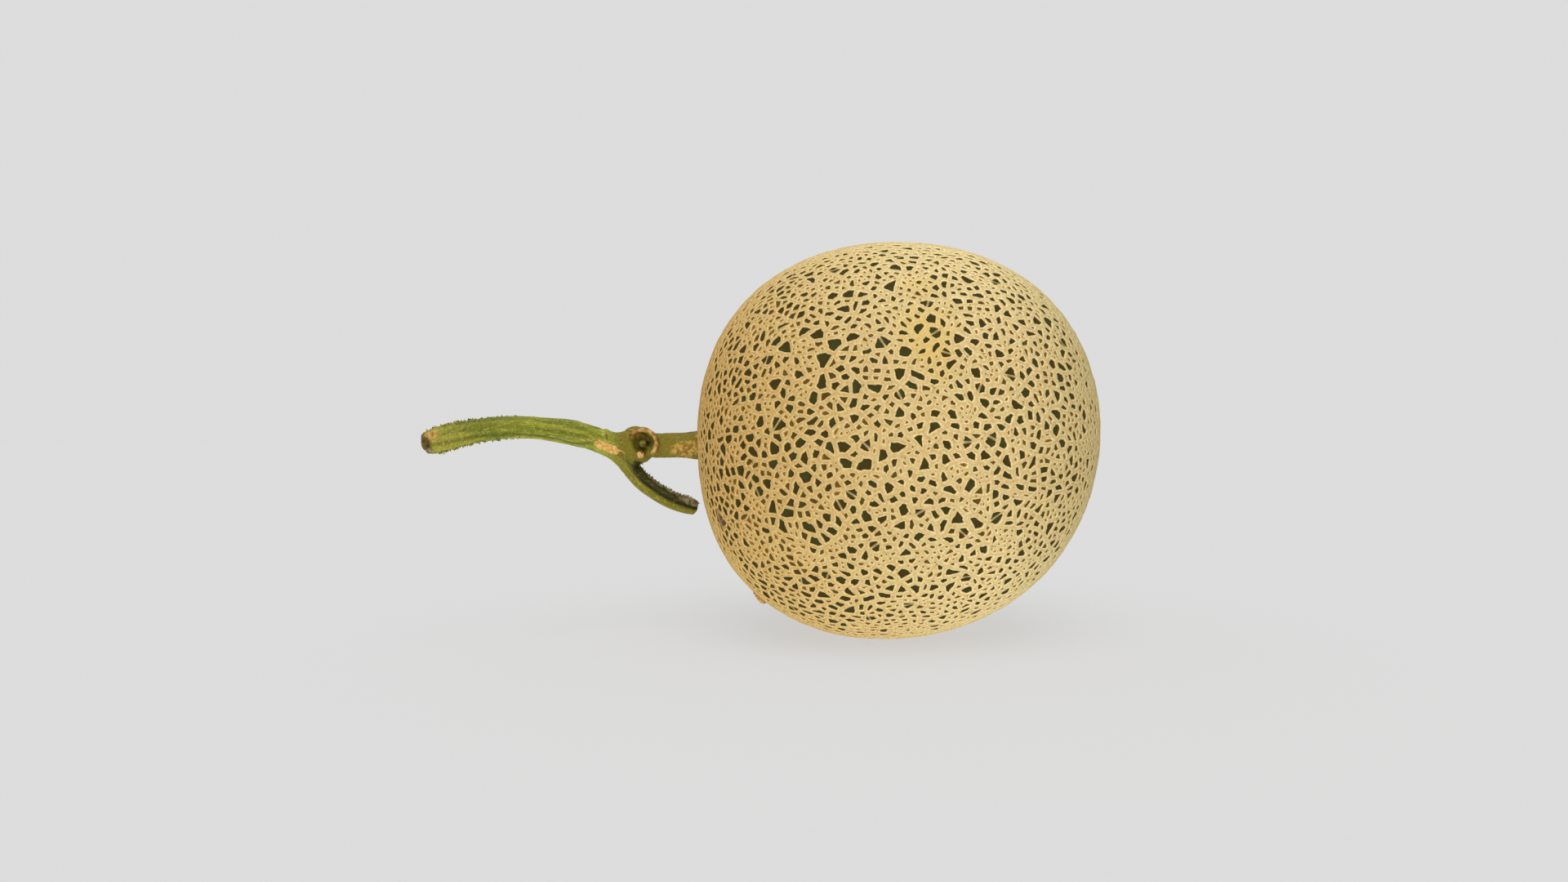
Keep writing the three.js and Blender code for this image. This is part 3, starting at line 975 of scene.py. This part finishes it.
stem = bmesh.new()
stem.from_mesh(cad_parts["stalk"].data)
bmesh.ops.remove_doubles(stem, verts=stem.verts, dist=MERGE_DISTANCE)
bmesh.ops.recalc_face_normals(stem, faces=stem.faces)
stem_mesh = bpy.data.meshes.new("vine")
stem.to_mesh(stem_mesh)
stem.free()
vine = bpy.data.objects.new("vine", stem_mesh)
bpy.context.collection.objects.link(vine)
bpy.ops.object.select_all(action="DESELECT")
bpy.context.view_layer.objects.active = vine
vine.select_set(True)
remesh = vine.modifiers.new("even_mesh", "REMESH")
remesh.mode = "VOXEL"
remesh.voxel_size = STEM_VOXEL
bpy.ops.object.modifier_apply(modifier=remesh.name)
smoothing = vine.modifiers.new("smoothing", "SMOOTH")
smoothing.iterations = SMOOTHING_ROUNDS
smoothing.factor = SMOOTHING
bpy.ops.object.modifier_apply(modifier=smoothing.name)

grain_places = []
kept_names = ("hollow", "dark_face", "light_face", "cut", "rim", "cavity_shade", "on_stalk")
kept_values = {name: [] for name in kept_names}
spots = []
skin = [(vertex.co.copy(), vertex.normal.copy()) for vertex in vine.data.vertices]
for place, normal in skin:
    along, aside, above, ahead, aside_way, above_way = vine_route.locate(place)
    share = min(max(along / vine_length, 0), 1)
    from_vine = math.hypot(aside, above)
    stalk_along, stalk_aside, stalk_above, *_ = stalk_route.locate(place)
    on_stalk = math.hypot(stalk_aside, stalk_above) - STALK_RADIUS < from_vine - arm_radius(share)
    clear = soft_share((place - KNUCKLE).length, *KNUCKLE_REACH)
    angle = math.degrees(math.atan2(above, aside))

    # The arms get their lengthwise grooves, clear of the knuckle and of the cut ends.
    inside = 0.0
    if on_stalk:
        grain_places.append((stalk_along * GRAIN_STRETCH, stalk_aside, stalk_above))
    else:
        grain_places.append((along * GRAIN_STRETCH, aside, above))
        depth, inside = groove_depth(angle, along)
        off = abs(from_vine - arm_radius(share))
        grooved = clear * soft_share(1 - abs(normal.dot(ahead)), *GROOVED_FACING)
        grooved *= 1 - soft_share(off, *GROOVED_OFFSET)
        wanted = arm_radius(share) + RIB_HEIGHT - depth
        outward = (aside_way * aside + above_way * above).normalized()
        place += outward * (wanted - from_vine) * grooved
        inside *= clear

    # The long arm's end grows a little, and the skin gets its swellings, lumps, warts and grain.
    place -= ahead * END_GROWTH * (1 - soft_share(along, 0, END_GROWTH_REACH))
    for middle, reach, height in SWELLINGS:
        from_swelling = (place - FRUIT_MIDDLE - Vector(middle) * MM).length
        place += normal * height * MM * bell(from_swelling, reach * MM)
    lumps = noise.noise(place / LUMP_SIZE) * LUMP_HEIGHT * (KNUCKLE_LUMPS - clear)
    warty = soft_share(along, *WART_START) * (1 - soft_share(along, *WART_END))
    lumps += max(0, noise.noise(place / WART_SIZE) - WART_LEVEL) * WART_HEIGHT * warty
    lumps += noise.noise(Vector(grain_places[-1]) / GRAIN_SIZE) * GRAIN_HEIGHT
    place += normal * lumps

    # The stalk's base sinks into the fruit, so that no gap shows between them.
    from_middle = place - FRUIT_MIDDLE
    inward = skin_distance(from_middle.normalized()) + STALK_SINK_START - from_middle.length
    place -= from_middle.normalized() * STALK_SINK * soft_share(inward, 0, STALK_SINK_EASE)

    # The broken rim of the leaf stalk crumbles, and its hollow goes in behind the stubs.
    rim, cavity_shade, hollow_floor, crumbly = rim_and_hollow(place)
    place.y += HOLLOW_DEPTH * hollow_floor
    place += normal * noise.noise(place / RIM_CRUMB_SIZE) * RIM_CRUMBLE * crumbly

    short_arm = 0 if on_stalk else soft_share(share, *SHORT_ARM_START)
    upper_face = soft_share(angle, *UPPER_FACE_START) * (1 - soft_share(angle, *UPPER_FACE_END))
    ripe = 1 - soft_share(KNUCKLE.x - place.x, *RIPE_REACH)
    kept_values["hollow"].append(inside)
    kept_values["dark_face"].append(short_arm * upper_face)
    kept_values["light_face"].append(short_arm * (1 - upper_face))
    kept_values["cut"].append(soft_share(-normal.dot(ahead), *CUT_FACING) if along < CUT_REACH else 0)
    kept_values["rim"].append(rim)
    kept_values["cavity_shade"].append(cavity_shade)
    kept_values["on_stalk"].append(ripe * (1 - short_arm) if share > RIPE_START or on_stalk else 0)
    spots.append((place, normal, along, angle, on_stalk))
vine.data.vertices.foreach_set("co", [number for place, *_ in spots for number in place])
vine.data.update()
for name, values in kept_values.items():
    vine.data.attributes.new(name, "FLOAT", "POINT").data.foreach_set("value", values)
grain_attribute = vine.data.attributes.new("grain", "FLOAT_VECTOR", "POINT")
grain_attribute.data.foreach_set("vector", [number for place in grain_places for number in place])
vine.data.shade_smooth()

STEM_GREEN = seen(149, 153, 47)
STEM_PALE = seen(194, 190, 92)
STEM_DEEP = seen(112, 128, 36)
STALK_OLIVE = seen(118, 104, 12)
GROOVE_SHADE_GREEN = seen(82, 90, 14)
DOT_YELLOW = seen(206, 198, 100)
DARK_FACE = seen(72, 69, 30)
DARK_FACE_PALE = seen(98, 92, 50)
DARK_GROOVE_SHADE = seen(26, 28, 2)
LIGHT_FACE = seen(118, 110, 12)
LIGHT_FACE_PALE = seen(150, 142, 46)
CAVITY_SHADE_GREEN = seen(84, 76, 6)
RIM_TAN = seen(208, 176, 104)
RIM_TAN_DARK = seen(160, 122, 58)
RIM_BROWN = seen(96, 66, 20)
CUT_BROWN = seen(84, 66, 12)
DOT_SPACING = 0.9 * MM
STREAK_SIZE = 0.5 * MM
BAND_SIZE = 1.7 * MM
# Each patch: its middle, size and turn, its edge's softness and raggedness, its two colours and its strength.
PATCHES = (
    # The long arm's younger, yellower start.
    ((-153.0, -37.0, 0.0), (8, 10, 7), 0, 0.8, 0.5, seen(182, 168, 80), seen(168, 160, 70), 0.35),
    # The duller green along the long arm's upper edge.
    ((-143.5, -27.0, 5.9), (12, 12, 2.0), 12, 0.5, 1.0, seen(116, 118, 42), seen(96, 102, 34), 0.6),
    # The tan scar beside the knuckle, and the brown nick above it.
    ((-103.0, -6.5, -3.1), (5.9, 4, 1.6), -25, 0.14, 1.5, seen(232, 196, 122), seen(206, 160, 78), 1.0),
    ((-103.7, -6.0, 1.2), (0.45, 3, 1.5), 14, 0.4, 1.6, seen(100, 76, 22), seen(120, 92, 34), 0.85),
    # The speckled patch on the knuckle, and the black patch in the notch below it.
    ((-94.6, -6.0, 2.7), (2.6, 3, 2.3), 0, 0.5, 2.6, seen(178, 134, 62), seen(96, 66, 18), 0.85),
    ((-93.0, -1.0, -9.4), (1.2, 6, 2.6), 14, 0.5, 1.6, seen(24, 28, 8), seen(44, 46, 16), 0.8),
    # The rough skin on the stalk, and the spot where it meets the fruit.
    ((-75.0, -4.0, -3.7), (5.6, 5, 2.9), -4, 0.3, 2.2, seen(196, 162, 78), seen(142, 104, 32), 0.92),
    ((-71.0, -4.0, 1.8), (1.2, 3, 1.1), 0, 0.4, 1.4, seen(200, 170, 98), seen(150, 116, 50), 0.85),
    # Pale grey patches on the dark face of the short arm, as a painted highlight.
    ((-86.3, 2.0, -15.6), (3.2, 5, 1.0), -36, 0.4, 1.8, seen(186, 182, 150), seen(96, 92, 56), 0.85),
    ((-81.6, 6.0, -18.9), (2.6, 5, 0.9), -34, 0.4, 1.4, seen(196, 192, 172), seen(140, 136, 108), 0.85),
    ((-75.9, 10.0, -22.3), (4.4, 5, 1.3), -32, 0.5, 1.8, seen(190, 182, 146), seen(126, 118, 84), 0.9),
    # The side shoots' cut faces: green above, dry and pinkish below, with a brown edge, and painted shade in
    # the gap beside.
    ((-90.7, -8.1, -1.5), (1.8, 0.9, 0.9), 30, 0.35, 2.2, seen(136, 132, 46), seen(100, 94, 20), 0.9),
    ((-90.1, -8.1, -2.0), (1.0, 1.0, 0.35), -25, 0.4, 1.2, seen(60, 46, 10), seen(84, 66, 20), 0.85),
    ((-91.0, -8.4, -5.6), (1.5, 1.0, 1.15), 0, 0.25, 1.3, seen(222, 178, 116), seen(190, 144, 80), 1.0),
    ((-90.8, -8.4, -4.5), (0.45, 1.0, 0.7), 10, 0.4, 1.2, seen(84, 54, 20), seen(110, 74, 34), 0.9),
    ((-88.5, -6.0, -1.3), (0.8, 3, 1.5), 0, 0.5, 1.0, seen(26, 30, 6), seen(40, 42, 10), 0.9),
    # The long arm's cut face: drying tan above, painted shade in its hollow, and grey at its lower edge.
    ((-155.5, -41.0, 1.2), (2.4, 3, 1.7), 10, 0.35, 1.6, seen(206, 166, 92), seen(166, 124, 54), 0.92),
    ((-157.5, -41.2, -1.5), (1.9, 3, 2.4), 0, 0.4, 1.8, seen(62, 44, 6), seen(104, 80, 30), 0.92),
    ((-156.6, -41.5, -3.6), (1.7, 3, 0.6), 0, 0.4, 1.2, seen(166, 154, 120), seen(110, 98, 60), 0.8),
)

green_stem, tree, shader = material_with_shader("ribbed_green_stem", 0.6, 0.2)
place = tree.nodes.new("ShaderNodeTexCoord").outputs["Object"]
stem_grain = kept(tree, "grain", "Vector")
streaks = cloudy(tree, stem_grain, STREAK_SIZE, 3.0, 0.65)
bands = cloudy(tree, stem_grain, BAND_SIZE, 2.0)
grain = effect(tree, cork_group, Place=place, Depth=0.55)
green = mixed(tree, eased(tree, bands, 0.46, 0.60), STEM_GREEN, STEM_DEEP)
green = mixed(tree, eased(tree, streaks, 0.50, 0.68), green, STEM_PALE)
on_stalk = kept(tree, "on_stalk")
green = mixed(tree, maths(tree, "MULTIPLY", on_stalk, 0.85), green, STALK_OLIVE)
light_face = kept(tree, "light_face")
dark_face = kept(tree, "dark_face")
light_green = mixed(tree, eased(tree, streaks, 0.4, 0.7), LIGHT_FACE, LIGHT_FACE_PALE)
green = mixed(tree, light_face, green, light_green)
dark_green = mixed(tree, eased(tree, streaks, 0.5, 0.75), DARK_FACE, DARK_FACE_PALE)
green = mixed(tree, dark_face, green, dark_green)
# The grooves are painted darker green, as painted shade, and darkest on the short arm.
hollow = kept(tree, "hollow")
short_arm = maths(tree, "ADD", dark_face, light_face)
groove_shade = mixed(tree, short_arm, GROOVE_SHADE_GREEN, DARK_GROOVE_SHADE)
green = mixed(tree, maths(tree, "MULTIPLY", hollow, 0.85), green, groove_shade)
dots = tree.nodes.new("ShaderNodeTexVoronoi")
dots.inputs["Scale"].default_value = 1 / DOT_SPACING
tree.links.new(place, dots.inputs["Vector"])
dot = eased(tree, dots.outputs["Distance"], 0.30, 0.16)
dot = maths(tree, "MULTIPLY", dot, eased(tree, grain["Blots"], 0.46, 0.56))
dot = maths(tree, "MULTIPLY", dot, maths(tree, "SUBTRACT", 0.75, maths(tree, "MULTIPLY", dark_face, 0.5)))
dot = maths(tree, "MULTIPLY", dot, maths(tree, "SUBTRACT", 1.0, maths(tree, "MULTIPLY", on_stalk, 0.7)))
green = mixed(tree, dot, green, DOT_YELLOW)
# The hollow behind the stubs is painted darker green, as painted shade.
green = mixed(tree, kept(tree, "cavity_shade"), green, CAVITY_SHADE_GREEN)
rim_share = kept(tree, "rim")
rim_tan = mixed(tree, eased(tree, grain["Blots"], 0.42, 0.58), RIM_TAN, RIM_TAN_DARK)
green = mixed(tree, eased(tree, rim_share, 0.02, 0.16), green, RIM_BROWN)
green = mixed(tree, eased(tree, rim_share, 0.2, 0.45), green, rim_tan)
green = mixed(tree, kept(tree, "cut"), green, CUT_BROWN)
for middle, size, turn, softness, raggedness, pale, deep, strength in PATCHES:
    mask = effect(tree, patch_group, Place=place, Middle=FRUIT_MIDDLE + Vector(middle) * MM,
                  Size=Vector(size) * MM, Turn=math.radians(turn), Softness=softness,
                  Raggedness=raggedness)["Mask"]
    patch_colour = mixed(tree, eased(tree, grain["Blots"], 0.42, 0.58), pale, deep)
    green = mixed(tree, maths(tree, "MULTIPLY", mask, strength), green, patch_colour)
colour = mixed(tree, 1.0, green, grain["Shade"], "MULTIPLY")
tree.links.new(colour, shader.inputs["Base Color"])
stem_relief = maths(tree, "ADD", streaks, maths(tree, "MULTIPLY", grain["Height"], 0.5))
bumped(tree, shader, stem_relief, 0.12 * MM, 0.7)
vine.data.materials.append(green_stem)
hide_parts("stalk")
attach(vine, "root")


# Bristles. The stiff short hairs of the vine, worn down to dark green stubs. They stand along the upper and
# lower edges of the long arm and on top of the short one, each leaning its own way out of the skin.
BRISTLE_LENGTH = 0.6 * MM
BRISTLE_RADIUS = 0.24 * MM
BRISTLE_TIP_RADIUS = 0.084 * MM
BRISTLE_LIFT = 0.3
BRISTLE_BEND = 35
BRISTLE_STOUTNESS = (0.8, 1.5)
BRISTLE_GROWTH = (0.6, 1.5)
LONG_ARM_BRISTLES = 190
LONG_ARM_HAIRY = (2 * MM, 34 * MM)
LONG_ARM_EDGE = 32
SHORT_ARM_BRISTLES = 110
SHORT_ARM_HAIRY_FROM = 0.62
SHORT_ARM_TOP = (40, 130)
bpy.ops.object.select_all(action="DESELECT")
bpy.ops.mesh.primitive_cone_add(vertices=5, radius1=BRISTLE_RADIUS, radius2=BRISTLE_TIP_RADIUS,
                                depth=BRISTLE_LENGTH)
pattern = bpy.context.object
pattern_mesh = pattern.data.copy()
bpy.data.objects.remove(pattern)
hairy = {"long": [], "short": []}
for place, normal, along, angle, on_stalk in spots:
    near_edge = abs(abs(angle) - 90) < LONG_ARM_EDGE
    on_top = SHORT_ARM_TOP[0] < angle < SHORT_ARM_TOP[1]
    if not on_stalk and near_edge and LONG_ARM_HAIRY[0] < along < LONG_ARM_HAIRY[1]:
        hairy["long"].append((place, normal))
    if not on_stalk and on_top and along > vine_length * SHORT_ARM_HAIRY_FROM:
        hairy["short"].append((place, normal))
tuft = bmesh.new()
for arm, count in (("long", LONG_ARM_BRISTLES), ("short", SHORT_ARM_BRISTLES)):
    for place, normal in luck.sample(hairy[arm], count):
        lean = Vector([luck.gauss(0, 1) for _ in range(3)]).cross(normal).normalized()
        turn = Matrix.Rotation(math.radians(luck.uniform(0, BRISTLE_BEND)), 4, lean)
        stand = normal.to_track_quat("Z", "Y").to_matrix().to_4x4()
        stoutness = luck.uniform(*BRISTLE_STOUTNESS)
        grown = Matrix.Diagonal((stoutness, stoutness, luck.uniform(*BRISTLE_GROWTH), 1))
        lift = Matrix.Translation((0, 0, BRISTLE_LENGTH * BRISTLE_LIFT))
        shift = Matrix.Translation(place) @ turn @ stand @ grown @ lift
        start = len(tuft.verts)
        tuft.from_mesh(pattern_mesh)
        tuft.verts.ensure_lookup_table()
        bmesh.ops.transform(tuft, matrix=shift, verts=tuft.verts[start:])
tuft_mesh = bpy.data.meshes.new("bristles")
tuft.to_mesh(tuft_mesh)
tuft.free()
bristles = bpy.data.objects.new("bristles", tuft_mesh)
bpy.context.collection.objects.link(bristles)
bristles.data.shade_smooth()

BRISTLE_DARK = seen(102, 106, 40)
BRISTLE_PALE = seen(148, 148, 70)
BRISTLE_BLOT_SIZE = 0.6 * MM
BRISTLE_GRAIN_SIZE = 0.2 * MM
hair, tree, shader = material_with_shader("dark_bristles", 0.7, 0.2)
place = tree.nodes.new("ShaderNodeTexCoord").outputs["Object"]
hair_blots = eased(tree, cloudy(tree, place, BRISTLE_BLOT_SIZE, 3.0), 0.4, 0.65)
hair_colour = mixed(tree, hair_blots, BRISTLE_DARK, BRISTLE_PALE)
tree.links.new(hair_colour, shader.inputs["Base Color"])
bumped(tree, shader, cloudy(tree, place, BRISTLE_GRAIN_SIZE), 0.03 * MM)
bristles.data.materials.append(hair)
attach(bristles, "root")
